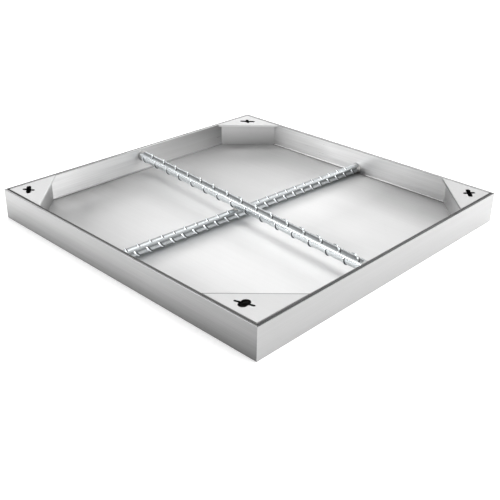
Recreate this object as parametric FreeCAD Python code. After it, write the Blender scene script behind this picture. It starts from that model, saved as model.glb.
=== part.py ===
import FreeCAD, Part
import math
import os

from FreeCAD import Vector

# Recessed paving cover. A square frame of mitred steel angles is bedded in the ground.
# A loose folded tray sits in it on a soft seal, and is filled with mortar and paving.
# Two ribbed bars cross in the tray and key the filling to it. Under each corner plate
# a closed pocket keeps the filling out, so that a lifting key can go in and be turned.
# Millimetres, +Z up. The origin is the middle of the frame's underside, and X and Y run
# along its sides. South is -Y, east is +X, north is +Y and west is -X.

# Frame
frame_side = 600.0
frame_height = 54.0
frame_wall = 3.0
ledge_reach = 27.0
ledge_thickness = 3.0
angle_root_radius = 2.0
angle_heel_radius = 1.0
edge_bevel = 0.5

# Seal strips, which lie on the frame's ledge and carry the tray
seal_width = 18.0
seal_thickness = 3.0
seal_inset = 7.5

# Tray
tray_gap = 1.0
tray_wall = 3.0
tray_floor = 3.0
tray_bend_radius = 3.0

# Corner plates with their keyholes, and the webs that close the pockets under them
plate_thickness = 4.0
web_thickness = 3.0
web_setback = 9.0
key_slot_length = 32.0
key_cross_length = 22.0

# Each corner: name, side along X, side along Y, length of the plate's legs, distances of the
# keyhole's middle from the tray's two walls, then width and angle in plan of its long slot
# and of the shorter slot that crosses it
corners = (
    ("south_east", 1, -1, 103.0, 44.0, 22.0, (4.5, 19.0), (14.0, 100.0)),
    ("north_east", 1, 1, 93.0, 24.5, 25.0, (8.0, -49.0), (6.5, 53.5)),
    ("north_west", -1, 1, 89.0, 26.5, 28.0, (8.0, 39.5), (6.5, 140.0)),
    ("south_west", -1, -1, 91.0, 23.5, 22.0, (8.0, -34.0), (6.5, 32.5)),
)

# Lower bar, along Y, which lies on the tray's floor
lower_core_radius = 8.5
lower_rib_height = 1.3
lower_rib_thickness = 2.4
lower_rib_pitch = 23.6
lower_rib_slant = 33.0
lower_rib_span = 97.0
lower_rib_start = 7.6
lower_bar_offset = -6.4
lower_bar_skew = -2.86
lower_bar_roll = 4.0

# Upper bar, along X, which lies on the lower one
upper_core_radius = 9.4
upper_rib_height = 1.5
upper_rib_thickness = 2.4
upper_rib_pitch = 37.7
upper_far_rib_slant = 50.0
upper_near_rib_slant = 5.0
upper_rib_span = 84.0
upper_far_rib_start = 11.4
upper_near_rib_start = 0.9
upper_bar_offset = -29.0
upper_bar_skew = -5.15
upper_bar_roll = -36.0

# The flats round a cross rib's crest, and the two straight ribs along each bar
rib_flats = 14
long_rib_height = 1.0
long_rib_top = 2.0
long_rib_root = 3.2

# Welds at the ends of the bars and where the bars cross
weld_leg = 2.5
weld_length = 5.0
crossing_weld_radius = 5.0

# Sizes that follow from the ones above
half_frame = frame_side / 2
half_tray = half_frame - frame_wall - tray_gap
half_recess = half_tray - tray_wall
tray_underside = ledge_thickness + seal_thickness
floor_top = tray_underside + tray_floor
plate_underside = frame_height - plate_thickness
lower_crest_radius = lower_core_radius + lower_rib_height
upper_crest_radius = upper_core_radius + upper_rib_height
lower_bar_height = floor_top + lower_crest_radius
upper_bar_height = lower_bar_height + lower_crest_radius + upper_crest_radius

X_AXIS = Vector(1, 0, 0)
Z_AXIS = Vector(0, 0, 1)
ORIGIN = Vector(0, 0, 0)

# Two places closer than this are the same place
SAME_PLACE = 1e-6

# Each side of the square, and the turn in plan that brings the south side round to it
sides = (("south", 0.0), ("east", 90.0), ("north", 180.0), ("west", -90.0))


def flat_face(points):
    """The flat face inside a closed outline."""
    return Part.Face(Part.makePolygon(list(points) + [points[0]]))


def turned(shape, axis, angle):
    """A copy of the shape, turned about an axis through the origin."""
    copy = shape.copy()
    copy.rotate(ORIGIN, axis, angle)
    return copy


def moved(shape, x, y, z):
    """A copy of the shape, moved."""
    copy = shape.copy()
    copy.translate(Vector(x, y, z))
    return copy


def edges_at(shape, **places):
    """The shape's edges that lie wholly at the given x, y or z."""
    def lies_there(edge):
        return all(abs(getattr(vertex.Point, axis) - place) < SAME_PLACE
                   for vertex in edge.Vertexes for axis, place in places.items())
    return [edge for edge in shape.Edges if lies_there(edge)]


def mitred(shape):
    """The stretch of a south side between the square's two diagonals."""
    corner = [Vector(0, 0, 0), Vector(-half_frame, -half_frame, 0), Vector(half_frame, -half_frame, 0)]
    return shape.common(flat_face(corner).extrude(Z_AXIS * frame_height))


def frame_side_angle():
    """The south side of the frame: an upright wall with a ledge along its foot."""
    outer = -half_frame
    inner = outer + frame_wall
    toe = inner + ledge_reach
    block = Part.makeBox(frame_side, toe - outer, frame_height, Vector(-half_frame, outer, 0))
    room = Part.makeBox(frame_side, ledge_reach, frame_height - ledge_thickness,
                        Vector(-half_frame, inner, ledge_thickness))
    root = edges_at(room, y=inner, z=ledge_thickness)
    angle = block.cut(room.makeFillet(angle_root_radius, root))
    angle = angle.makeFillet(angle_heel_radius, edges_at(angle, y=outer, z=0))
    sharp = edges_at(angle, y=outer, z=frame_height)
    sharp += edges_at(angle, y=inner, z=frame_height)
    sharp += edges_at(angle, y=toe, z=ledge_thickness)
    return mitred(angle.makeChamfer(edge_bevel, sharp))


def seal_strip():
    """The south seal strip, flat on the ledge."""
    edge = -half_frame + frame_wall + seal_inset
    return mitred(Part.makeBox(frame_side, seal_width, seal_thickness,
                               Vector(-half_frame, edge, ledge_thickness)))


def recess():
    """The room inside the tray, rounded along its foot where the sheet is folded."""
    room = Part.makeBox(2 * half_recess, 2 * half_recess, frame_height - floor_top,
                        Vector(-half_recess, -half_recess, floor_top))
    return room.makeFillet(tray_bend_radius, edges_at(room, z=floor_top))


def tray():
    """The tray: one sheet folded up on four sides, its upright corners welded shut."""
    pan = Part.makeBox(2 * half_tray, 2 * half_tray, frame_height - tray_underside,
                       Vector(-half_tray, -half_tray, tray_underside))
    pan = pan.makeFillet(tray_bend_radius + tray_wall, edges_at(pan, z=tray_underside))
    pan = pan.cut(recess())
    return pan.makeChamfer(edge_bevel, edges_at(pan, z=frame_height))


def in_corner(side_x, side_y, from_x_wall, from_y_wall, z):
    """A point given by its distances from the tray's two walls at a corner."""
    return Vector(side_x * (half_recess - from_x_wall), side_y * (half_recess - from_y_wall), z)


def slot_cutter(length, width, angle):
    """A slot with round ends, to be cut through a plate."""
    depth = 3 * plate_thickness
    half_straight = (length - width) / 2
    slot = Part.makeBox(2 * half_straight, width, depth, Vector(-half_straight, -width / 2, 0))
    ends = [Part.makeCylinder(width / 2, depth, Vector(side * half_straight, 0, 0)) for side in (-1, 1)]
    return turned(slot.multiFuse(ends), Z_AXIS, angle)


def keyhole(centre, long_slot, cross_slot):
    """Two slots that cross, to be cut through a plate."""
    cutter = slot_cutter(key_slot_length, *long_slot).fuse(slot_cutter(key_cross_length, *cross_slot))
    return moved(cutter.removeSplitter(), centre.x, centre.y, plate_underside - plate_thickness)


def corner_plate(side_x, side_y, leg, key_x, key_y, long_slot, cross_slot):
    """A triangular plate, flush with the rim, with a keyhole through it."""
    outline = [in_corner(side_x, side_y, *at, plate_underside) for at in ((0, 0), (leg, 0), (0, leg))]
    plate = flat_face(outline).extrude(Z_AXIS * plate_thickness)
    square_corner = in_corner(side_x, side_y, 0, 0, frame_height)
    long_edge = [edge for edge in edges_at(plate, z=frame_height)
                 if all(vertex.Point.distanceToPoint(square_corner) > SAME_PLACE
                        for vertex in edge.Vertexes)]
    plate = plate.makeChamfer(edge_bevel, long_edge)
    return plate.cut(keyhole(in_corner(side_x, side_y, key_x, key_y, 0), long_slot, cross_slot))


def corner_web(side_x, side_y, leg):
    """The upright strip across a corner, from the tray's floor to the plate."""
    outer = leg - web_setback
    inner = outer - web_thickness * math.sqrt(2)
    outline = [in_corner(side_x, side_y, *at, floor_top)
               for at in ((outer, 0), (0, outer), (0, inner), (inner, 0))]
    web = flat_face(outline).extrude(Z_AXIS * (plate_underside - floor_top))
    return web.common(recess())


def plain_bar(core_radius, length):
    """A bar along X through the origin with its two straight ribs, at +Y and -Y."""
    core = Part.makeCylinder(core_radius, length, Vector(-length / 2, 0, 0), X_AXIS)
    root = core_radius * math.cos(math.asin(long_rib_root / 2 / core_radius))
    top = core_radius + long_rib_height
    outline = [Vector(-length / 2, y, z) for y, z in (
        (0, -long_rib_root / 2), (root, -long_rib_root / 2), (top, -long_rib_top / 2),
        (top, long_rib_top / 2), (root, long_rib_root / 2), (0, long_rib_root / 2))]
    long_rib = flat_face(outline).extrude(X_AXIS * length)
    return core.multiFuse([long_rib, turned(long_rib, X_AXIS, 180)])


def cross_rib(core_radius, rib_height, thickness, slant, span):
    """One slanting crescent rib over the top of a bar: deepest on top, gone at the span's ends."""
    crest = core_radius + rib_height
    rise = (crest ** 2 - core_radius ** 2) / (2 * (crest - core_radius * math.cos(math.radians(span))))
    reach = 4 * crest
    slice_box = Part.makeBox(thickness, reach, 2 * crest, Vector(-thickness / 2, -reach / 2, 0))
    flat_angles = [2 * math.pi * number / rib_flats for number in range(rib_flats)]
    radius = crest - rise
    outline = [Vector(-reach / 2, radius * math.sin(angle), rise + radius * math.cos(angle))
               for angle in flat_angles]
    return turned(slice_box, Z_AXIS, slant).common(flat_face(outline).extrude(X_AXIS * reach))


def rib_places(length, pitch, start, reach):
    """Where a row's ribs sit along a bar, clear of the welds at both ends."""
    limit = length / 2 - weld_length - reach
    first = math.ceil((-limit - start) / pitch)
    last = math.floor((limit - start) / pitch)
    return [start + pitch * number for number in range(first, last + 1)]


def rib_row(length, core_radius, rib_height, thickness, slant, span, pitch, start):
    """A row of cross ribs along the top of a bar."""
    rib = cross_rib(core_radius, rib_height, thickness, slant, span)
    places = rib_places(length, pitch, start, rib.BoundBox.XMax)
    return [moved(rib, place, 0, 0) for place in places]


def bar_length(crest_radius, skew):
    """A bar's length between the tray's walls, short of the folds at their feet."""
    lean = math.radians(abs(skew))
    return 2 * (half_recess - tray_bend_radius) / math.cos(lean) - 2 * crest_radius * math.tan(lean)


def lower_place(shape):
    """A shape made along X, turned and moved to the lower bar's place."""
    shape = turned(turned(shape, X_AXIS, lower_bar_roll), Z_AXIS, 90 + lower_bar_skew)
    return moved(shape, lower_bar_offset, 0, lower_bar_height)


def upper_place(shape):
    """A shape made along X, turned and moved to the upper bar's place."""
    shape = turned(turned(shape, X_AXIS, upper_bar_roll), Z_AXIS, upper_bar_skew)
    return moved(shape, 0, upper_bar_offset, upper_bar_height)


def lower_bar(length):
    """The lower bar, with like rows of ribs along its top and its underside."""
    sizes = (length, lower_core_radius, lower_rib_height, lower_rib_thickness,
             lower_rib_slant, lower_rib_span, lower_rib_pitch)
    top_row = rib_row(*sizes, lower_rib_start)
    under_row = rib_row(*sizes, lower_rib_start + lower_rib_pitch / 2)
    ribs = top_row + [turned(rib, X_AXIS, 180) for rib in under_row]
    return lower_place(plain_bar(lower_core_radius, length).multiFuse(ribs))


def upper_bar(length):
    """The upper bar, whose two rows of ribs slant by different angles."""
    def row(slant, start):
        return rib_row(length, upper_core_radius, upper_rib_height, upper_rib_thickness,
                       slant, upper_rib_span, upper_rib_pitch, start)
    far_row = row(upper_far_rib_slant, upper_far_rib_start)
    near_row = row(upper_near_rib_slant, upper_near_rib_start)
    ribs = far_row + [turned(rib, X_AXIS, 180) for rib in near_row]
    return upper_place(plain_bar(upper_core_radius, length).multiFuse(ribs))


def end_welds(core_radius, crest_radius, length, place):
    """The weld beads that hold a bar's two ends to the tray's walls."""
    bar = place(plain_bar(core_radius, length))
    start = length / 2 - weld_length
    bead = Part.makeCone(core_radius, crest_radius + weld_leg, half_tray - start,
                         Vector(start, 0, 0), X_AXIS)
    room = recess()
    return [place(shape).common(room).cut(bar) for shape in (bead, turned(bead, Z_AXIS, 180))]


def crossing_weld(lower, upper):
    """The weld that fills the gap between the two bars where they cross."""
    across = math.tan(math.radians(lower_bar_skew))
    along = math.tan(math.radians(upper_bar_skew))
    y = (upper_bar_offset + along * lower_bar_offset) / (1 + across * along)
    x = lower_bar_offset - across * y
    post = Part.makeCylinder(crossing_weld_radius, upper_bar_height - lower_bar_height,
                             Vector(x, y, lower_bar_height))
    return post.cut(lower).cut(upper)


def write(name, shape):
    """Saves one piece, or a group of like pieces, as its own file."""
    shape.exportStep("parts/" + name + ".step")
    volume = sum(solid.Volume for solid in shape.Solids)
    print(name, len(shape.Solids), "solid(s)", round(volume), "mm3, valid", shape.isValid())


def main():
    os.makedirs("parts", exist_ok=True)
    for name, turn in sides:
        write("frame_side_" + name, turned(frame_side_angle(), Z_AXIS, turn))
        write("seal_strip_" + name, turned(seal_strip(), Z_AXIS, turn))
    write("tray", tray())
    for name, side_x, side_y, leg, key_x, key_y, long_slot, cross_slot in corners:
        write("corner_plate_" + name,
              corner_plate(side_x, side_y, leg, key_x, key_y, long_slot, cross_slot))
        write("corner_web_" + name, corner_web(side_x, side_y, leg))
    lower_length = bar_length(lower_crest_radius, lower_bar_skew)
    upper_length = bar_length(upper_crest_radius, upper_bar_skew)
    lower = lower_bar(lower_length)
    upper = upper_bar(upper_length)
    write("lower_bar", lower)
    write("upper_bar", upper)
    write("lower_bar_welds", Part.makeCompound(
        end_welds(lower_core_radius, lower_crest_radius, lower_length, lower_place)))
    write("upper_bar_welds", Part.makeCompound(
        end_welds(upper_core_radius, upper_crest_radius, upper_length, upper_place)))
    write("crossing_weld", crossing_weld(lower, upper))


main()
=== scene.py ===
# %% [markdown]
# # A recessed paving cover
#
# A cover like this closes a shaft in a paved place and is hardly seen. A square frame of steel angle
# is bedded in the ground, a loose folded tray hangs in it, and the tray is filled with the same stone
# as the place around it. This lesson takes the cover's solids as they come from the workshop and
# gives them their steel, light and camera. Its lengths are in metres, and +Z is up.

# %% Load the solids
import math
import bmesh
import bpy
from mathutils import Matrix, Vector


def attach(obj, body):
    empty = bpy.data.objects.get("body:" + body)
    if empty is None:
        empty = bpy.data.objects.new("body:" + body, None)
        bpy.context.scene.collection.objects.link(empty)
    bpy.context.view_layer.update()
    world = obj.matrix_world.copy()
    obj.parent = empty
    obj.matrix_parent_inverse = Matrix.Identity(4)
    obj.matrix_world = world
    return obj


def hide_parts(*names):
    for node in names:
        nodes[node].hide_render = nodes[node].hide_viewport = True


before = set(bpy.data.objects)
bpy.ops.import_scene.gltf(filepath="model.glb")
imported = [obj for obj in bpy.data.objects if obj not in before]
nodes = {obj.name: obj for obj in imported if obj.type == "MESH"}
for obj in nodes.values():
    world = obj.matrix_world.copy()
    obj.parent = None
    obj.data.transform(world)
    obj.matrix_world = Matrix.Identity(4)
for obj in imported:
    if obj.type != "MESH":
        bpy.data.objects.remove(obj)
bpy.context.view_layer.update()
MM = 0.001

# %% [markdown]
# ## Camera
#
# The camera looks down on one corner, as a maker does who stands at the bench. It could be placed by
# hand, but a camera that is worked out from four plain values is easier to compare with a
# photograph: which way it looks, how far down, how far it leans, and how far it is from its aim.

# %% Camera
AZIMUTH = math.radians(43.55)
ELEVATION = math.radians(27.81)
LEAN = math.radians(1.04)
DISTANCE = 1.157
AIM = Vector((0.1502, -0.1582, 0.054))
LENS = 56.2

back = Vector((math.sin(AZIMUTH) * math.cos(ELEVATION),
               -math.cos(AZIMUTH) * math.cos(ELEVATION),
               math.sin(ELEVATION)))
level_right = Vector((math.cos(AZIMUTH), math.sin(AZIMUTH), 0))
level_up = back.cross(level_right)
right = level_right * math.cos(LEAN) + level_up * math.sin(LEAN)
up = back.cross(right)

camera = bpy.data.objects.new("camera", bpy.data.cameras.new("camera"))
bpy.context.scene.collection.objects.link(camera)
camera.data.lens = LENS
camera.data.sensor_width = 36
camera_turn = Matrix((right, up, back)).transposed().to_4x4()
camera.matrix_world = Matrix.Translation(AIM + back * DISTANCE) @ camera_turn
bpy.context.scene.camera = camera
print("camera at", [round(c, 3) for c in camera.location])

# %% [markdown]
# ## Light
#
# Bare steel has hardly any colour of its own: it shows what is around it. So a cover is lit as in a
# studio, by large pale sheets that stand all round it, and each sheet is there for what mirrors it.
# Two beyond the cover light the tray's floor, one overhead the plates and rims, and six low ones the
# walls and the two bars. Small bright lamps would do the job too, but steel would show them as hard
# spots. The world adds the even light of a white room, so that nothing mirrors black.

# %% World
bpy.context.scene.view_settings.view_transform = "Standard"
world = bpy.data.worlds.new("white_room")
bpy.context.scene.world = world
world.use_nodes = True
ROOM_LIGHT = 0.33
world.node_tree.nodes["Background"].inputs["Color"].default_value = (1, 1, 1, 1)
world.node_tree.nodes["Background"].inputs["Strength"].default_value = ROOM_LIGHT
print("room light", ROOM_LIGHT)

# %% Sheets of light
SHEET_DISTANCE = 8.0


def sheet_side(angle):
    """How long a sheet's side is, if it covers an angle in degrees as seen from the cover."""
    return 2 * SHEET_DISTANCE * math.tan(math.radians(angle / 2))


def light_sheet(name, bearing, lowest, highest, width, brightness):
    """A flat lamp that faces the cover. Its bearing runs from north by east, and all is in degrees."""
    height = math.radians((lowest + highest) / 2)
    bearing = math.radians(bearing)
    level = math.cos(height)
    out = Vector((math.sin(bearing) * level, math.cos(bearing) * level, math.sin(height)))
    lamp = bpy.data.lights.new(name, "AREA")
    lamp.shape = "RECTANGLE"
    lamp.size = sheet_side(width)
    lamp.size_y = sheet_side(highest - lowest)
    lamp.energy = brightness * math.pi * lamp.size * lamp.size_y
    light = bpy.data.objects.new(name, lamp)
    bpy.context.scene.collection.objects.link(light)
    light.location = out * SHEET_DISTANCE
    light.rotation_mode = "QUATERNION"
    light.rotation_quaternion = out.to_track_quat("Z", "Y")
    light.visible_camera = False
    print(name, round(lamp.size, 2), "x", round(lamp.size_y, 2), "m,", round(lamp.energy), "W")


# Bearing, heights of the lower and upper edge, width, brightness
light_sheet("far_low_sheet", -45, 16, 27, 70, 2.5)
light_sheet("far_high_sheet", -45, 50, 66, 70, 1.65)
light_sheet("slim_sheet", -144, 2, 34, 14, 8.2)
light_sheet("bar_sheet", -130, 14, 36, 16, 3.0)
light_sheet("top_sheet", 0, 66, 90, 60, 2.5)
light_sheet("near_sheet", 110, 4, 20, 50, 4.1)
light_sheet("back_right_sheet", 15, 2, 42, 30, 5.4)
light_sheet("right_sheet", 72, 2, 38, 40, 3.5)
light_sheet("front_sheet", 165, 4, 30, 60, 2.1)

# %% [markdown]
# ## Floor
#
# The table could be lit like the rest, but lamps strong enough to make it white would burn out the
# steel. So it gives a little light of its own, as a lit table for photographs does, and that also
# brightens the walls.

# %% Floor
FLOOR_REACH = 20.0
FLOOR_DROP = 0.2 * MM
floor_mesh = bpy.data.meshes.new("floor")
floor_corners = [(x * FLOOR_REACH, y * FLOOR_REACH, -FLOOR_DROP)
                 for x, y in ((-1, -1), (1, -1), (1, 1), (-1, 1))]
floor_mesh.from_pydata(floor_corners, [], [(0, 1, 2, 3)])
floor = bpy.data.objects.new("floor", floor_mesh)
bpy.context.scene.collection.objects.link(floor)
TABLE_GLOW = 0.28
floor_paint = bpy.data.materials.new("pale_table")
floor_paint.use_nodes = True
paint = floor_paint.node_tree.nodes["Principled BSDF"].inputs
paint["Base Color"].default_value = (0.88, 0.88, 0.88, 1)
paint["Roughness"].default_value = 0.9
paint["Emission Color"].default_value = (1, 1, 1, 1)
paint["Emission Strength"].default_value = TABLE_GLOW
floor_mesh.materials.append(floor_paint)
print("floor", 2 * FLOOR_REACH, "m wide")

# %% [markdown]
# ## Brushed steel
#
# Stainless sheet is brushed with a belt that runs one way, so the surface is a mass of very fine
# scratches along that way. Seen closely they are streaks a millimetre or two apart and some
# centimetres long, each a little lighter or darker and a little rougher. A flat grey with one
# roughness would look like plastic. Here noise is drawn out along the brushing and squeezed across
# it, and drives the tone, the roughness and a very shallow bump. The scratches also smear what the
# steel mirrors across themselves, which is what an anisotropic shader does.


# %% Nodes and noise
def new_material(name):
    """An empty node material, with its nodes and links."""
    material = bpy.data.materials.new(name)
    material.use_nodes = True
    return material, material.node_tree.nodes, material.node_tree.links


def put(tree, value, socket):
    """Sets a socket to a plain number, or links it to another socket."""
    if isinstance(value, (int, float)):
        socket.default_value = value
    else:
        tree.links.new(value, socket)


def stretched_noise(tree, coordinates, scale, detail):
    """Noise with its own scale along X, Y and Z, in features per metre."""
    mapping = tree.nodes.new("ShaderNodeMapping")
    mapping.inputs["Scale"].default_value = scale
    tree.links.new(coordinates, mapping.inputs["Vector"])
    noise = tree.nodes.new("ShaderNodeTexNoise")
    noise.inputs["Scale"].default_value = 1
    noise.inputs["Detail"].default_value = detail
    tree.links.new(mapping.outputs["Vector"], noise.inputs["Vector"])
    return noise.outputs["Fac"]


def remapped(tree, value, low, high, start=0.3, end=0.7):
    """A value that runs from start to end, spread between low and high. Noise runs from 0.3 to 0.7."""
    spread = tree.nodes.new("ShaderNodeMapRange")
    spread.inputs["From Min"].default_value = start
    spread.inputs["From Max"].default_value = end
    spread.inputs["To Min"].default_value = low
    spread.inputs["To Max"].default_value = high
    tree.links.new(value, spread.inputs["Value"])
    return spread.outputs["Result"]


print("noise runs from about", 0.3, "to", 0.7, "before it is remapped")


# %% Sums on values
def worked_out(tree, operation, first, second=0.0):
    """One sum on two values, such as MULTIPLY or GREATER_THAN."""
    step = tree.nodes.new("ShaderNodeMath")
    step.operation = operation
    put(tree, first, step.inputs[0])
    put(tree, second, step.inputs[1])
    return step.outputs["Value"]


def mixed(tree, factor, first, second):
    """The first value where the factor is 0, and the second where it is 1."""
    mix = tree.nodes.new("ShaderNodeMix")
    tree.links.new(factor, mix.inputs["Factor"])
    put(tree, first, mix.inputs["A"])
    put(tree, second, mix.inputs["B"])
    return mix.outputs["Result"]


def multiplied(tree, first, *others):
    """The product of two or more values."""
    for other in others:
        first = worked_out(tree, "MULTIPLY", first, other)
    return first


def squared(tree, value):
    """A value times itself."""
    return multiplied(tree, value, value)


def distance(tree, value, place):
    """How far a value is from a place, whichever side it is on."""
    return worked_out(tree, "ABSOLUTE", worked_out(tree, "SUBTRACT", value, place))


print("made", ", ".join(made.__name__ for made in (worked_out, mixed, multiplied, squared, distance)))


# %% Colour and bump
def coloured(tree, tone, colour, shader):
    """Gives a shader one colour whose brightness follows a tone."""
    tint = tree.nodes.new("ShaderNodeVectorMath")
    tint.operation = "SCALE"
    tint.inputs[0].default_value = colour
    tree.links.new(tone, tint.inputs["Scale"])
    tree.links.new(tint.outputs["Vector"], shader.inputs["Base Color"])


def bumped(tree, height, depth, shader, strength=0.15):
    """Raises a shader's surface by a value, at most by a depth in millimetres."""
    bump = tree.nodes.new("ShaderNodeBump")
    bump.inputs["Strength"].default_value = strength
    bump.inputs["Distance"].default_value = depth * MM
    tree.links.new(height, bump.inputs["Height"])
    tree.links.new(bump.outputs["Normal"], shader.inputs["Normal"])


print("made", coloured.__name__, "and", bumped.__name__)


# %% Places on a steel face
FLOOR_TOP = 9.0
FOLD_RADIUS = 3.0


def split(tree, vector):
    """A vector's X, Y and Z."""
    parts = tree.nodes.new("ShaderNodeSeparateXYZ")
    tree.links.new(vector, parts.inputs["Vector"])
    return parts.outputs["X"], parts.outputs["Y"], parts.outputs["Z"]


class Face:
    """What a material can know of the face it lies on: its place, and which way it looks."""

    def __init__(self, tree):
        self.x, self.y, self.z = split(tree, tree.nodes.new("ShaderNodeTexCoord").outputs["Object"])
        facing = split(tree, tree.nodes.new("ShaderNodeNewGeometry").outputs["Normal"])
        looks_east, _, looks_up = [worked_out(tree, "ABSOLUTE", way) for way in facing]
        runs_north = worked_out(tree, "GREATER_THAN", looks_east, 0.5)
        self.is_level = worked_out(tree, "GREATER_THAN", looks_up, 0.7)
        self.is_upright = worked_out(tree, "LESS_THAN", looks_up, 0.1)
        is_flat = worked_out(tree, "GREATER_THAN", looks_up, 0.99)
        self.in_fold = worked_out(tree, "SUBTRACT", 1.0, worked_out(tree, "ADD", self.is_upright, is_flat))
        along = tree.nodes.new("ShaderNodeCombineXYZ")
        put(tree, mixed(tree, runs_north, self.x, self.y), along.inputs["X"])
        put(tree, mixed(tree, self.is_level, self.z, self.y), along.inputs["Y"])
        put(tree, mixed(tree, runs_north, self.y, self.x), along.inputs["Z"])
        self.along = along.outputs["Vector"]
        across = tree.nodes.new("ShaderNodeCombineXYZ")
        put(tree, self.is_level, across.inputs["Y"])
        put(tree, worked_out(tree, "SUBTRACT", 1.0, self.is_level), across.inputs["Z"])
        self.across = across.outputs["Vector"]
        low = worked_out(tree, "LESS_THAN", self.z, (FLOOR_TOP + FOLD_RADIUS) * MM)
        self.is_floor = multiplied(tree, self.is_level, low)


print("faces can be told apart: level, upright, folded, floor")


# %% Brushed steel
def brushed_steel(name, grey, roughness, streak, tones=(), brushing=0.8, level_rough=1.0, level_streak=1.0):
    """Brushed steel. Each of its tones, painted light and shade, works out one more share of the brightness
    from the face.
    """
    material, parts, links = new_material(name)
    tree = material.node_tree
    steel = parts["Principled BSDF"]
    steel.inputs["Metallic"].default_value = 1
    steel.inputs["Anisotropic"].default_value = brushing
    face = Face(tree)
    links.new(face.across, steel.inputs["Tangent"])
    fine = stretched_noise(tree, face.along, (9, 900, 900), 3)
    broad = stretched_noise(tree, face.along, (3, 150, 150), 2)
    clouds = stretched_noise(tree, face.along, (9, 9, 9), 2)
    tone = multiplied(tree, remapped(tree, fine, 1 - streak, 1 + streak),
                      remapped(tree, broad, 1 - streak / 2, 1 + streak / 2))
    streaks = multiplied(tree, worked_out(tree, "SUBTRACT", tone, 1.0),
                         mixed(tree, face.is_level, 1.0, level_streak))
    tone = multiplied(tree, worked_out(tree, "ADD", streaks, 1.0), *[extra(tree, face) for extra in tones])
    coloured(tree, tone, (grey, grey, grey), steel)
    rough = multiplied(tree, remapped(tree, fine, roughness * 0.85, roughness * 1.15),
                       remapped(tree, clouds, 0.93, 1.07), mixed(tree, face.is_level, 1.0, level_rough))
    links.new(rough, steel.inputs["Roughness"])
    bumped(tree, fine, 0.05, steel)
    return material


def finish(node, material):
    """Gives a solid its material."""
    for place in nodes[node].material_slots:
        place.material = material


print(sum(len(node.material_slots) for node in nodes.values()), "places for a material on the solids")

# %% [markdown]
# ## Frame
#
# The frame is four lengths of steel angle, mitred and welded at the corners and brushed along their
# length. Their top edges were cut with a shear and never brushed. A tone darkens these cut edges by a
# different share on each side, and another darkens the foot of each wall: both are painted shade. Each
# length also has its own grey and a drift along it, set to how the light falls on that side, so the four
# are lit and shaded copies of one steel, which is painted light and shade. Each difference is a tone: a
# function of the place on the steel, which can be changed or left out by itself.


# %% The four sides of the frame
HALF_FRAME = 300.0
FOOT_HEIGHT = 40.0
FRAME_ROUGHNESS = 0.34


def cut_edge(share):
    """Painted shade: a tone that darkens the cut edges, which lie level, to a share."""
    return lambda tree, face: mixed(tree, face.is_level, 1.0, share)


def drift(place, share):
    """Painted light and shade: a tone that drifts along a side, brighter or duller by a share at each end.
    """
    return lambda tree, face: remapped(tree, getattr(face, place), 1 - share, 1 + share,
                                       -HALF_FRAME * MM, HALF_FRAME * MM)


def shaded_foot(share):
    """Painted shade: a tone that rises from a share at the foot of a wall to its full brightness higher up.
    """
    return lambda tree, face: remapped(tree, face.z, share, 1, 0, FOOT_HEIGHT * MM)


# Grey, streaks, share of the cut edge, share of the foot, axis of the drift, share of the drift
# The greys, cut edges, feet and drifts differ from side to side as painted light and shade.
FRAME_SIDES = {
    "south": (0.365, 0.06, 0.9, 0.53, "x", -0.3),
    "east": (0.46, 0.04, 0.28, 0.97, "y", 0.12),
    "north": (0.36, 0.06, 0.7, 0.7, "x", 0.2),
    "west": (0.42, 0.04, 0.3, 0.9, "y", 0.1),
}
for side, (grey, streak, edge, foot, along, share) in FRAME_SIDES.items():
    finish("frame_side_" + side, brushed_steel("frame_steel_" + side, grey, FRAME_ROUGHNESS, streak,
                                               (cut_edge(edge), shaded_foot(foot), drift(along, share))))
print(len(FRAME_SIDES), "frame sides finished")

# %% [markdown]
# ## Tray
#
# The tray is one sheet, folded up on four sides. It has the same brushing as the frame, but its
# floor is the mill's own satin skin, which mirrors nothing clearly, so the floor is rougher than the
# walls. The rim is a bare cut edge. Tones paint light and shade onto the tray: the folds are painted
# darker, and the cut rim darker along its east and south sides. The floor is painted brightest in front
# of its middle and darker farther out and towards the back, and lighter in a strip beside the lower bar,
# against the bar's shade. The walls are painted darker towards the corners. A painted picture laid over
# the steel could hold all of this, but it would blur when seen closely, and tones that are worked out
# from the place stay sharp.

# %% The tray's floor
HALF_RECESS = 293.0


def painted_floor_light(tree, face):
    """Painted light and shade: the floor is brightest in front of its middle, and darker farther out."""
    near_west = worked_out(tree, "MAXIMUM", worked_out(tree, "SUBTRACT", -170 * MM, face.x), 0.0)
    west = multiplied(tree, squared(tree, near_west), remapped(tree, face.y, 8, -12, -100 * MM, -10 * MM))
    across = squared(tree, distance(tree, face.x, 90 * MM))
    along = squared(tree, distance(tree, face.y, -175 * MM))
    spread = worked_out(tree, "ADD", worked_out(tree, "ADD", across, west), along)
    return mixed(tree, face.is_level, 1.0, remapped(tree, spread, 1.44, 0.76, 0, 0.26))


def shaded_back(tree, face):
    """Painted shade: the floor's back strip darkens towards the north wall, most of all at its east end."""
    behind = worked_out(tree, "MAXIMUM", worked_out(tree, "SUBTRACT", face.y, 165 * MM), 0.0)
    back_shading = multiplied(tree, behind, remapped(tree, face.x, 0, 3.4, -260 * MM, 210 * MM))
    return mixed(tree, face.is_floor, 1.0, worked_out(tree, "SUBTRACT", 1.0, back_shading))


def painted_strip_light(tree, face):
    """Painted light: the floor is a little brighter east of the lower bar, against the bar's shade there.
    """
    from_strip = distance(tree, face.x, 32 * MM)
    strip_light = multiplied(tree, remapped(tree, from_strip, 0.18, 0, 12 * MM, 80 * MM),
                         remapped(tree, face.y, 0, 1, -60 * MM, 60 * MM))
    return mixed(tree, face.is_floor, 1.0, worked_out(tree, "ADD", strip_light, 1.0))


print("floor", 2 * HALF_RECESS, "mm wide")


# %% The tray's folds, walls and rim
WALL_START = 288.0
RIM_HEIGHT = 53.4


def shaded_folds(tree, face):
    """Painted shade: the folds are darker than the flats."""
    return mixed(tree, face.in_fold, 1.0, 0.48)


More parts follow.
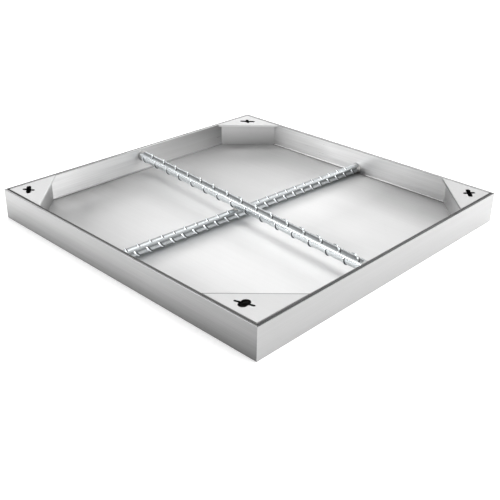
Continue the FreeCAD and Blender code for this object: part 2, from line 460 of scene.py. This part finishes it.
def shaded_walls(tree, face):
    """Painted light and shade: the west wall darkens from its south end to the back corner, and the north
    wall towards both ends.
    """
    on_west = multiplied(tree, worked_out(tree, "LESS_THAN", face.x, -WALL_START * MM), face.is_upright)
    on_north = multiplied(tree, worked_out(tree, "GREATER_THAN", face.y, WALL_START * MM), face.is_upright)
    west = remapped(tree, face.y, 1.47, 0.46, -290 * MM, 290 * MM)
    north = remapped(tree, distance(tree, face.x, -60 * MM), 1.22, 0.7, 0, 390 * MM)
    return multiplied(tree, mixed(tree, on_west, 1.0, west), mixed(tree, on_north, 1.0, north))


def shaded_rim(tree, face):
    """Painted shade: the cut rim is darker along its east and south sides than along the others."""
    on_top = worked_out(tree, "GREATER_THAN", face.z, RIM_HEIGHT * MM)
    east = worked_out(tree, "GREATER_THAN", face.x, HALF_RECESS * MM)
    south = worked_out(tree, "LESS_THAN", face.y, -HALF_RECESS * MM)
    share = mixed(tree, worked_out(tree, "MAXIMUM", east, south), 1.15, 0.26)
    return mixed(tree, multiplied(tree, on_top, face.is_level), 1.0, share)


TRAY_TONES = (shaded_folds, painted_floor_light, shaded_back, painted_strip_light, shaded_walls, shaded_rim)
finish("tray", brushed_steel("tray_steel", 0.545, FRAME_ROUGHNESS, 0.06, TRAY_TONES,
                             level_rough=1.8, level_streak=0.35))
print(len(TRAY_TONES), "tones on the tray")

# %% [markdown]
# ## Corner plates and webs
#
# The plates are thicker and were ground, not brushed, so they have no clear direction. The walls of
# their keyholes are painted black, which is painted shade: the hole could be left to go dark by itself,
# but bare bright steel on its walls would show as a grey rim. Each plate and web has its own grey, set to
# how the light falls on it, and the south-east plate has a dark band painted along its long edge: this
# too is painted light and shade. The webs under the plates are plain strips, painted darker towards the
# floor.

# %% Corner plates
# Sides along X and Y, and the keyhole's distances from the tray's two walls
KEYHOLES = {
    "south_east": (1, -1, 44.0, 22.0),
    "north_east": (1, 1, 24.5, 25.0),
    "north_west": (-1, 1, 26.5, 28.0),
    "south_west": (-1, -1, 23.5, 22.0),
}
KEYHOLE_REACH = 16.5
# How dark the painted shade on a keyhole's walls is
HOLE_SHADE = 0.04
# The south-east plate's legs, and the band of painted shade along its long edge
LONG_LEG = 103.0
EDGE_BAND = 3.5


def shaded_hole(x, y):
    """Painted shade: a tone that is black on upright faces near a keyhole's middle."""
    def tone(tree, face):
        farthest = worked_out(tree, "MAXIMUM", distance(tree, face.x, x), distance(tree, face.y, y))
        near = worked_out(tree, "LESS_THAN", farthest, KEYHOLE_REACH * MM)
        return mixed(tree, multiplied(tree, near, face.is_upright), 1.0, HOLE_SHADE)
    return tone


def shaded_long_edge(tree, face):
    """Painted shade: a narrow dark band along the long edge of the south-east plate."""
    from_edge = worked_out(tree, "SUBTRACT", worked_out(tree, "SUBTRACT", face.x, face.y),
                           (2 * HALF_RECESS - LONG_LEG) * MM)
    return mixed(tree, worked_out(tree, "LESS_THAN", from_edge, EDGE_BAND * MM), 1.0, 0.5)


# Each plate's grey is set to how the light falls on it, as painted light and shade.
PLATE_GREYS = {"south_east": 0.6, "north_east": 0.54, "north_west": 0.64, "south_west": 0.62}
for corner, (side_x, side_y, from_x, from_y) in KEYHOLES.items():
    middle = (side_x * (HALF_RECESS - from_x) * MM, side_y * (HALF_RECESS - from_y) * MM)
    tones = [shaded_hole(*middle)]
    if corner == "south_east":
        tones.append(shaded_long_edge)
    finish("corner_plate_" + corner, brushed_steel("plate_steel_" + corner, PLATE_GREYS[corner], 0.5, 0.02,
                                                   tones, brushing=0))
print(len(KEYHOLES), "corner plates finished")

# %% Webs
# Grey, and the share of it that is left at the foot: both painted light and shade, set for each web
WEBS = {
    "south_east": (0.5, 0.5),
    "north_east": (1.0, 0.9),
    "north_west": (0.54, 0.5),
    "south_west": (0.49, 0.5),
}
for corner, (grey, foot) in WEBS.items():
    finish("corner_web_" + corner, brushed_steel("web_steel_" + corner, grey, 0.42, 0.02,
                                                 [shaded_foot(foot)], brushing=0))
print(len(WEBS), "webs finished")

# %% [markdown]
# ## Ribbed bars
#
# The two bars that cross in the tray are concrete reinforcing bars. Their ribs are rolled into the
# hot steel, so each rib has a round crest and round feet and dies away at the bar's sides, where a
# low straight rib runs the whole length. The solids have plain flat ribs. Ribs could be cut as separate
# rings and joined to a rod, but the joins would be sharp. A finer skin is made here in their place, as
# one grid of points: the rings of the grid lean with the ribs, so a few rings for each rib are enough
# to make it round. Each point also keeps a painted brightness, under a name of its own: bright on the
# crests, partly where hands and stones rub and partly as a painted highlight, dark on one side of each
# rib as a painted shadow, and in between by a list of shades round the bar, which are painted
# reflections and shade.

# %% The bars' sizes, in millimetres and degrees
WELD_LENGTH = 5.0

# A cross rib's height is rib, and span is how far it reaches round the bar from its middle. Slants
# and starts are those of the two rows. Shades are painted reflections and shade: how bright the zinc
# is painted, by the angle round the bar.
LOWER_BAR = {"core": 8.5, "rib": 1.6, "thickness": 2.2, "pitch": 23.5, "span": 92,
             "slants": (-30, 48), "starts": (2.0, 19.5),
             "roll": -44, "turn": 90 - 2.86, "skew": 2.86, "place": (-6.4, 0, 18.8),
             "shades": ((-180, 0.5), (-150, 0.66), (-135, 0.52), (-114, 0.08), (-88, 0.36),
                        (-66, 0.7), (-30, 0.26), (0, 0.4), (90, 0.7), (160, 0.9), (180, 0.5))}
UPPER_BAR = {"core": 9.4, "rib": 1.8, "thickness": 2.2, "pitch": 37.9, "span": 84,
             "slants": (60, 7), "starts": (33.0, 25.5),
             "roll": -34, "turn": -5.15, "skew": 5.15, "place": (0, -29, 39.5),
             "shades": ((-180, 1.0), (-140, 0.85), (-120, 1.0), (-95, 1.0), (-75, 0.55),
                        (-58, 0.22), (-45, 0.18), (-27, 0.7), (0, 1.1), (60, 0.6), (150, 0.8), (180, 1.0))}
LONG_RIB = 1.0
# DARK is a painted shadow beside a rib, and BRIGHT a rubbed crest with a painted highlight.
DARK, PLAIN, BRIGHT = 0.1, None, 1.1

# Across a cross rib: shares of its half width and of its height, and how bright the zinc is painted there
RIB_SECTION = ((-2.6, 0, PLAIN), (-1.2, 0, PLAIN), (-0.95, 0.5, BRIGHT), (-0.7, 0.85, BRIGHT),
               (-0.3, 1, BRIGHT), (0.3, 1, BRIGHT), (0.7, 0.85, PLAIN), (0.95, 0.5, DARK),
               (1.2, 0, DARK), (2.2, 0, DARK), (2.6, 0, PLAIN))
# Across a straight rib: millimetres round the bar, and shares of its height
LONG_SECTION = ((-1.9, 0), (-1.5, 0.3), (-1.1, 0.85), (-0.5, 1),
                (0.5, 1), (1.1, 0.85), (1.5, 0.3), (1.9, 0))
TOP_STEPS = 28
print("a rib every", LOWER_BAR["pitch"], "and", UPPER_BAR["pitch"], "mm")


# %% Where the ribs stand, and how high
def rib_height(bar, angle):
    """How far a cross rib stands off the bar, at an angle from the middle of its row."""
    core, crest, span = bar["core"], bar["core"] + bar["rib"], math.radians(bar["span"])
    rise = (crest ** 2 - core ** 2) / (2 * (crest - core * math.cos(span)))
    reach = math.sqrt((crest - rise) ** 2 - (rise * math.sin(angle)) ** 2)
    return max(0, rise * math.cos(angle) + reach - core)


def bar_columns(bar):
    """Round the bar from its top: angle, share of the way from row 0 to row 1, straight rib's share."""
    edge = LONG_SECTION[-1][0] / bar["core"]
    columns = []
    for row in (0, 1):
        middle = math.pi * row
        for step in range(TOP_STEPS + 1):
            swing = (2 * step / TOP_STEPS - 1) * (math.pi / 2 - edge)
            columns.append((middle + swing, row, 0))
        for offset, share in LONG_SECTION[1:-1]:
            way = (offset / bar["core"] + edge) / (2 * edge)
            columns.append((middle + math.pi / 2 + offset / bar["core"], abs(row - way), share))
    return columns


def row_place(bar, row, number, offset, angle, radius):
    """Where along the bar a point of a row's rib lies."""
    slant = math.radians(bar["slants"][row])
    half_width = bar["thickness"] / 2 / math.cos(slant)
    lean = math.tan(slant) * radius * math.sin(angle)
    aside = min(offset * half_width, bar["pitch"] / 2)
    return bar["starts"][row] + bar["pitch"] * number + aside + (lean if row else -lean)


def has_rib(bar, row, number, half_length):
    """Whether a row's rib lies wholly between the two welds."""
    centre = bar["starts"][row] + bar["pitch"] * number
    return abs(centre) < half_length - WELD_LENGTH - 2 * bar["thickness"]


print("ribs", [round(rib_height(bar, 0), 2) for bar in (LOWER_BAR, UPPER_BAR)], "mm high")


# %% A bar's shades, length and place
def shade(bar, angle):
    """Painted reflections and shade: how bright the zinc is painted at an angle round the bar, by its list
    of angles and shares.
    """
    turned = math.degrees(angle + math.pi) % 360 - 180
    for (start, first), (end, last) in zip(bar["shades"], bar["shades"][1:]):
        if start <= turned <= end:
            return first + (last - first) * (turned - start) / (end - start)


def half_bar_length(bar):
    """Half the length of a bar that runs from wall to wall, short of the folds at their feet."""
    skew = math.radians(bar["skew"])
    return (HALF_RECESS - FOLD_RADIUS) / math.cos(skew) - (bar["core"] + bar["rib"]) * math.tan(skew)


def bar_roll(bar):
    """How far a bar is turned about its own axis."""
    return Matrix.Rotation(math.radians(bar["roll"]), 4, "X")


def bar_place(bar):
    """The turn in plan and the place of a bar that was made along X."""
    turn = Matrix.Rotation(math.radians(bar["turn"]), 4, "Z")
    return Matrix.Translation(Vector(bar["place"]) * MM) @ turn


print("bars", [round(2 * half_bar_length(bar), 1) for bar in (LOWER_BAR, UPPER_BAR)], "mm long")


# %% A bar's skin
def bar_mesh(bar):
    """A ribbed bar's skin, closed at both ends, along X."""
    half_length = half_bar_length(bar)
    count = math.ceil(half_length / bar["pitch"]) + 2
    between_ribs = (bar["pitch"] / bar["thickness"], 0, PLAIN)
    columns = bar_columns(bar)
    skin = bmesh.new()
    wear_and_shade = skin.verts.layers.float.new("wear_and_shade")
    rings = []
    for number in range(-count, count):
        for offset, share, rib_wear_and_shade in RIB_SECTION + (between_ribs,):
            ring = []
            for angle, way, long_share in columns:
                row = round(way)
                swing = angle - math.pi * row
                ribbed = has_rib(bar, row, number, half_length) and long_share == 0
                height = rib_height(bar, swing) if ribbed else 0
                radius = bar["core"] + max(share * height, LONG_RIB * long_share)
                places = [row_place(bar, each, number, offset, angle, radius) for each in (0, 1)]
                along = places[0] * (1 - way) + places[1] * way
                along = max(-half_length, min(half_length, along))
                place = Vector((along, radius * math.sin(angle), radius * math.cos(angle)))
                point = skin.verts.new(place * MM)
                # Each point is painted with the reflection and shade of its angle, and near a rib with the
                # crest's highlight and the shadow beside it.
                point[wear_and_shade] = shade(bar, angle)
                if rib_wear_and_shade is not PLAIN:
                    point[wear_and_shade] += (rib_wear_and_shade - point[wear_and_shade]) * min(1, 5 * height / bar["rib"])
                ring.append(point)
            rings.append(ring)
    for ring, after in zip(rings, rings[1:]):
        for one in range(len(columns)):
            two = (one + 1) % len(columns)
            skin.faces.new((ring[one], after[one], after[two], ring[two]))
    bmesh.ops.remove_doubles(skin, verts=skin.verts, dist=0.002 * MM)
    bmesh.ops.holes_fill(skin, edges=[edge for edge in skin.edges if edge.is_boundary])
    bmesh.ops.recalc_face_normals(skin, faces=skin.faces)
    skin.transform(bar_roll(bar))
    return skin


print(len(bar_columns(LOWER_BAR)), "points in each ring of a bar")

# %% From skin to piece
SHARP_ANGLE = 50


def built(name, skin, material, node):
    """A smooth piece from a bmesh, sharp where faces meet at a steep angle, in place of a solid."""
    for face in skin.faces:
        face.smooth = True
    for edge in skin.edges:
        edge.smooth = edge.calc_face_angle(0) < math.radians(SHARP_ANGLE)
    mesh = bpy.data.meshes.new(name)
    skin.to_mesh(mesh)
    skin.free()
    mesh.materials.append(material)
    piece = bpy.data.objects.new(name, mesh)
    bpy.context.scene.collection.objects.link(piece)
    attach(piece, "root")
    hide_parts(node)
    print(name, len(mesh.polygons), "faces")
    return piece


print("edges over", SHARP_ANGLE, "degrees stay sharp")

# %% [markdown]
# ## Galvanised steel
#
# The bars were dipped in zinc, which is a little cooler than stainless steel and mottled where its
# crystals catch the light. A coarse cell pattern gives the mottling and a fine noise the grain. The
# painted brightness that each point keeps then makes crests bright and smooth and one side of each rib
# dark and rough. A material that looked only at the shape could not tell a rubbed crest from a sheltered
# one. Each bar's brightness is also painted to drift from one end to the other, which is painted light.
# The patterns are laid along the bar before its roll, so they turn with its ribs.

# %% Galvanised steel
ZINC = (0.86, 0.9, 0.92)
BRIGHTEST = 1.05


def galvanised_steel(name, bar, first, last):
    """Zinc on a bar. Its brightness follows the painted shades kept in the mesh, and a painted light drifts
    it from a first to a last share.
    """
    material, parts, links = new_material(name)
    tree = material.node_tree
    zinc = parts["Principled BSDF"]
    zinc.inputs["Metallic"].default_value = 1
    unrolled = parts.new("ShaderNodeMapping")
    unrolled.inputs["Rotation"].default_value = (-math.radians(bar["roll"]), 0, 0)
    links.new(parts.new("ShaderNodeTexCoord").outputs["Object"], unrolled.inputs["Vector"])
    place = unrolled.outputs["Vector"]
    kept = parts.new("ShaderNodeAttribute")
    kept.attribute_name = "wear_and_shade"
    cells = parts.new("ShaderNodeTexVoronoi")
    cells.inputs["Scale"].default_value = 350
    links.new(place, cells.inputs["Vector"])
    crystals = split(tree, cells.outputs["Color"])[0]
    grain = stretched_noise(tree, place, (500, 500, 500), 1)
    tone = multiplied(tree, kept.outputs["Fac"], remapped(tree, crystals, 0.94, 1.04, 0, 1),
                      remapped(tree, split(tree, place)[0], first, last, -290 * MM, 290 * MM))
    coloured(tree, worked_out(tree, "MINIMUM", tone, BRIGHTEST), ZINC, zinc)
    links.new(multiplied(tree, remapped(tree, kept.outputs["Fac"], 0.4, 0.25, 0, 1),
                         remapped(tree, grain, 0.85, 1.15)), zinc.inputs["Roughness"])
    bumped(tree, grain, 0.06, zinc, 0.12)
    return material


# The first and last shares paint light along each bar.
for node, bar, first, last in (("lower_bar", LOWER_BAR, 1.1, 1.15), ("upper_bar", UPPER_BAR, 1.15, 0.8)):
    zinc_steel = galvanised_steel("zinc_of_" + node, bar, first, last)
    piece = built("ribbed_" + node, bar_mesh(bar), zinc_steel, node)
    piece.matrix_world = bar_place(bar)

# %% [markdown]
# ## Weld beads
#
# A weld bead is a row of small pools that froze one after another, so it has ripples like a stack of
# coins, and the heat has left it grey with straw and blue stains. Each bead here is swept round the
# end of its bar as a hollow curve from the bar to the wall, with a ripple every few degrees, and is
# pressed flat against the wall and the floor. A plain cone would be simpler, and would look like a
# flange. The small weld where the bars cross is hardly seen, so its solid stays and is only stained.

# %% The beads' shape
BEAD_STEPS = 120
RIPPLES = 24
RIPPLE_DEPTH = 0.35
BEAD_THICKNESS = 1.8

# From the bar's end to the wall: shares of the bead's length and of its thickness
BEAD_PROFILE = ((0.0, -0.6), (0.02, 0.0), (0.3, 0.08), (0.55, 0.25), (0.75, 0.5), (0.9, 0.8), (1.0, 1.0))


def pressed(point):
    """A bead's point, pressed flat where it would go into a wall or the floor."""
    wall = HALF_RECESS * MM
    return (max(-wall, min(wall, point.x)), max(-wall, min(wall, point.y)), max(FLOOR_TOP * MM, point.z))


def bead_mesh(bar):
    """The two beads of a bar, in the object's own frame."""
    skin = bmesh.new()
    place = bar_place(bar) @ bar_roll(bar)
    half_length = half_bar_length(bar)
    for end in (-1, 1):
        rings = []
        for share, rise in BEAD_PROFILE:
            ring = []
            for step in range(BEAD_STEPS):
                angle = 2 * math.pi * step / BEAD_STEPS
                ripple = RIPPLE_DEPTH * share * math.sin(RIPPLES * angle + 3 * share)
                radius = bar["core"] + rise * BEAD_THICKNESS + ripple
                along = half_length - WELD_LENGTH + share * (WELD_LENGTH + 2 * FOLD_RADIUS)
                point = Vector((end * along, radius * math.sin(angle), radius * math.cos(angle)))
                ring.append(skin.verts.new(pressed(place @ (point * MM))))
            rings.append(ring)
        for ring, after in zip(rings, rings[1:]):
            for one in range(BEAD_STEPS):
                two = (one + 1) % BEAD_STEPS
                skin.faces.new((ring[one], after[one], after[two], ring[two]))
        skin.faces.new(rings[0])
        skin.faces.new(rings[-1])
    bmesh.ops.recalc_face_normals(skin, faces=skin.faces)
    return skin


print(RIPPLES, "ripples round each bead")


# %% Weld metal
def weld_metal(name):
    """Heat-stained weld metal: grey, with straw and blue patches."""
    material, parts, links = new_material(name)
    tree = material.node_tree
    metal = parts["Principled BSDF"]
    metal.inputs["Metallic"].default_value = 1
    place = parts.new("ShaderNodeTexCoord").outputs["Object"]
    stains = parts.new("ShaderNodeMix")
    stains.data_type = "RGBA"
    patches = stretched_noise(tree, place, (160, 160, 160), 2)
    links.new(remapped(tree, patches, 0, 1), stains.inputs["Factor"])
    stains.inputs["A"].default_value = (0.5, 0.48, 0.45, 1)
    stains.inputs["B"].default_value = (0.42, 0.44, 0.46, 1)
    links.new(stains.outputs["Result"], metal.inputs["Base Color"])
    grain = stretched_noise(tree, place, (900, 900, 900), 3)
    links.new(remapped(tree, grain, 0.3, 0.5), metal.inputs["Roughness"])
    bumped(tree, grain, 0.15, metal, 0.3)
    return material


stained_weld = weld_metal("weld_metal")
for node, bar in (("lower_bar_welds", LOWER_BAR), ("upper_bar_welds", UPPER_BAR)):
    built("rippled_" + node, bead_mesh(bar), stained_weld, node)
finish("crossing_weld", stained_weld)

# %% [markdown]
# ## Seal strips
#
# Strips of closed-cell foam rubber lie on the frame's ledge and keep the tray from rattling. They
# are nearly hidden. The foam is black and matt and full of tiny cells, which a cell pattern gives as
# bump and as small changes of tone. Noise could stand for the cells, but it has no edges.

# %% Foam rubber
def foam_rubber(name):
    """Black foam with fine cells."""
    material, parts, links = new_material(name)
    tree = material.node_tree
    rubber = parts["Principled BSDF"]
    place = parts.new("ShaderNodeTexCoord").outputs["Object"]
    cells = parts.new("ShaderNodeTexVoronoi")
    cells.inputs["Scale"].default_value = 1100
    links.new(place, cells.inputs["Vector"])
    tone = remapped(tree, cells.outputs["Distance"], 0.7, 1.4, 0, 0.6)
    coloured(tree, tone, (0.025, 0.025, 0.027), rubber)
    patches = stretched_noise(tree, place, (400, 400, 400), 2)
    links.new(remapped(tree, patches, 0.75, 0.95), rubber.inputs["Roughness"])
    bumped(tree, cells.outputs["Distance"], 0.3, rubber, 0.5)
    return material


foam = foam_rubber("foam_rubber")
for side in FRAME_SIDES:
    finish("seal_strip_" + side, foam)
print("seal strips finished")
